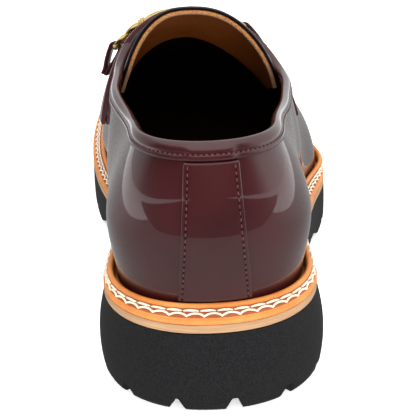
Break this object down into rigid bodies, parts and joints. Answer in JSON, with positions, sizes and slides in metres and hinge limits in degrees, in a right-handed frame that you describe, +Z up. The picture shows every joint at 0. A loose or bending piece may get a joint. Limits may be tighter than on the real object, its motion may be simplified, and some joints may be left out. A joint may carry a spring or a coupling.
{
  "type": "horsebit loafer",
  "caption": "Right-foot slip-on leather loafer with a metal horsebit on a saddle strap, a stitched storm welt and a thick lug sole.",
  "frame": {"origin": "on the floor under the middle of the shoe's bounding box", "axes": "+Y from heel to toe, +X to the outer side of the right foot, +Z up"},
  "size_m": [0.1166, 0.308, 0.1207],
  "materials": {
    "outsole": "matte moulded rubber",
    "midsole": "matte",
    "welt": "waxed veg-tan",
    "insole": "matte lining leather",
    "upper": "high-gloss polished oxblood",
    "tongue": "polished outside, suede-edged lining inside",
    "collar_band": "high-gloss polished oxblood",
    "back_strip": "high-gloss polished oxblood",
    "saddle": "high-gloss polished oxblood",
    "bit_loop": "polished",
    "horsebit": "polished gold-tone",
    "thread": "waxed thread"
  },
  "bodies": {
    "root": {"outsole": "outsole", "midsole": "midsole", "welt": "welt", "insole": "insole", "upper": "upper", "tongue": "tongue", "collar_band": "collar_band", "back_strip": "back_strip", "saddle": "saddle", "bit_loop_medial": "bit_loop", "bit_loop_lateral": "bit_loop", "horsebit": "horsebit"}
  },
  "joints": []
}
